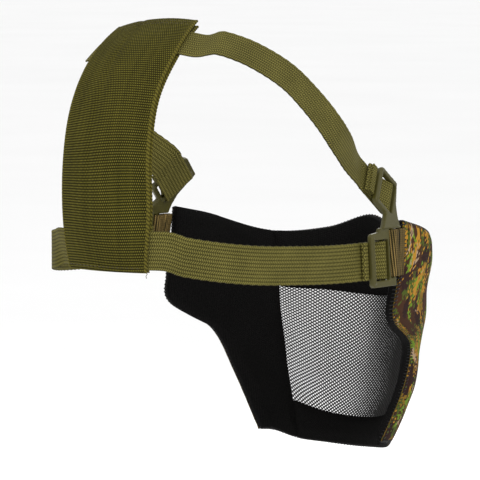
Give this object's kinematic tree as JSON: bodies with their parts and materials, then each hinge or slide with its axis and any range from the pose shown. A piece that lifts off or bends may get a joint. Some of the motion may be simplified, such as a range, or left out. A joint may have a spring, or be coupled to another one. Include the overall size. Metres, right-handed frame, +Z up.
{
  "type": "half-face mask with strap harness",
  "caption": "Padded camouflage lower-face mask with a mesh front, side adjusters, elastic straps and a wide webbing panel over the back of the head.",
  "frame": {"origin": "midway between the wearer's ear openings, inside the head space", "axes": "+Z up, the wearer faces -Y, the wearer's left is +X"},
  "size_m": [0.1714, 0.2484, 0.2456],
  "materials": {
    "camo_fabric": "matt woven, digital camouflage print",
    "lining": "matt black knit",
    "foam": "soft open-cell foam",
    "wire_mesh": "black coated expanded steel",
    "tab_webbing": "woven olive webbing",
    "buckle_plastic": "olive moulded plastic, slight sheen",
    "panel_webbing": "ribbed olive elastic webbing",
    "strap_elastic": "knitted olive elastic"
  },
  "bodies": {
    "face_mask": {"nose_cover": "camo_fabric", "nose_foam": "foam", "nose_lining": "lining", "chin_cover": "camo_fabric", "chin_foam": "foam", "chin_lining": "lining", "cheek_left_cover": "camo_fabric", "cheek_left_foam": "foam", "cheek_left_lining": "lining", "cheek_right_cover": "camo_fabric", "cheek_right_foam": "foam", "cheek_right_lining": "lining", "front_mesh": "wire_mesh", "tab_left": "tab_webbing", "tab_right": "tab_webbing", "upper_strap_left": "strap_elastic", "upper_strap_right": "strap_elastic", "lower_strap_left": "strap_elastic", "lower_strap_right": "strap_elastic"},
    "back_panel": {"panel_outer": "panel_webbing", "panel_inner": "panel_webbing", "lower_strap_back": "strap_elastic", "upper_strap_end_left": "strap_elastic", "upper_strap_end_right": "strap_elastic"},
    "adjuster_left": {"buckle_left": "buckle_plastic", "upper_loop_left": "strap_elastic", "lower_loop_left": "strap_elastic"},
    "upper_tail_left": {"upper_tail_left": "strap_elastic"},
    "lower_tail_left": {"lower_tail_left": "strap_elastic"},
    "adjuster_right": {"buckle_right": "buckle_plastic", "upper_loop_right": "strap_elastic", "lower_loop_right": "strap_elastic"},
    "upper_tail_right": {"upper_tail_right": "strap_elastic"},
    "lower_tail_right": {"lower_tail_right": "strap_elastic"}
  },
  "joints": [
    {"name": "harness_stretch", "type": "slide", "parent": "face_mask", "child": "back_panel", "axis": [0, 1, 0], "range_m": [0, 0.03], "stiffness_N_per_m": 150},
    {"name": "buckle_hinge_left", "type": "hinge", "parent": "face_mask", "child": "adjuster_left", "pos_m": [0.0821, -0.0375, 0.00685], "axis": [-0.061, 0, 0.9981], "range_deg": [-8, 0], "stiffness_Nm_per_rad": 0.05},
    {"name": "upper_tail_slide_left", "type": "slide", "parent": "adjuster_left", "child": "upper_tail_left", "axis": [-0.1557, 0.7173, 0.6792], "range_m": [0, 0.004]},
    {"name": "lower_tail_slide_left", "type": "slide", "parent": "adjuster_left", "child": "lower_tail_left", "axis": [0, 1, 0], "range_m": [0, 0.02]},
    {"name": "buckle_hinge_right", "type": "hinge", "parent": "face_mask", "child": "adjuster_right", "pos_m": [-0.0821, -0.0375, 0.00685], "axis": [0.061, 0, 0.9981], "range_deg": [0, 8], "stiffness_Nm_per_rad": 0.05},
    {"name": "upper_tail_slide_right", "type": "slide", "parent": "adjuster_right", "child": "upper_tail_right", "axis": [0.1557, 0.7173, 0.6792], "range_m": [0, 0.004]},
    {"name": "lower_tail_slide_right", "type": "slide", "parent": "adjuster_right", "child": "lower_tail_right", "axis": [0, 1, 0], "range_m": [0, 0.02]}
  ]
}
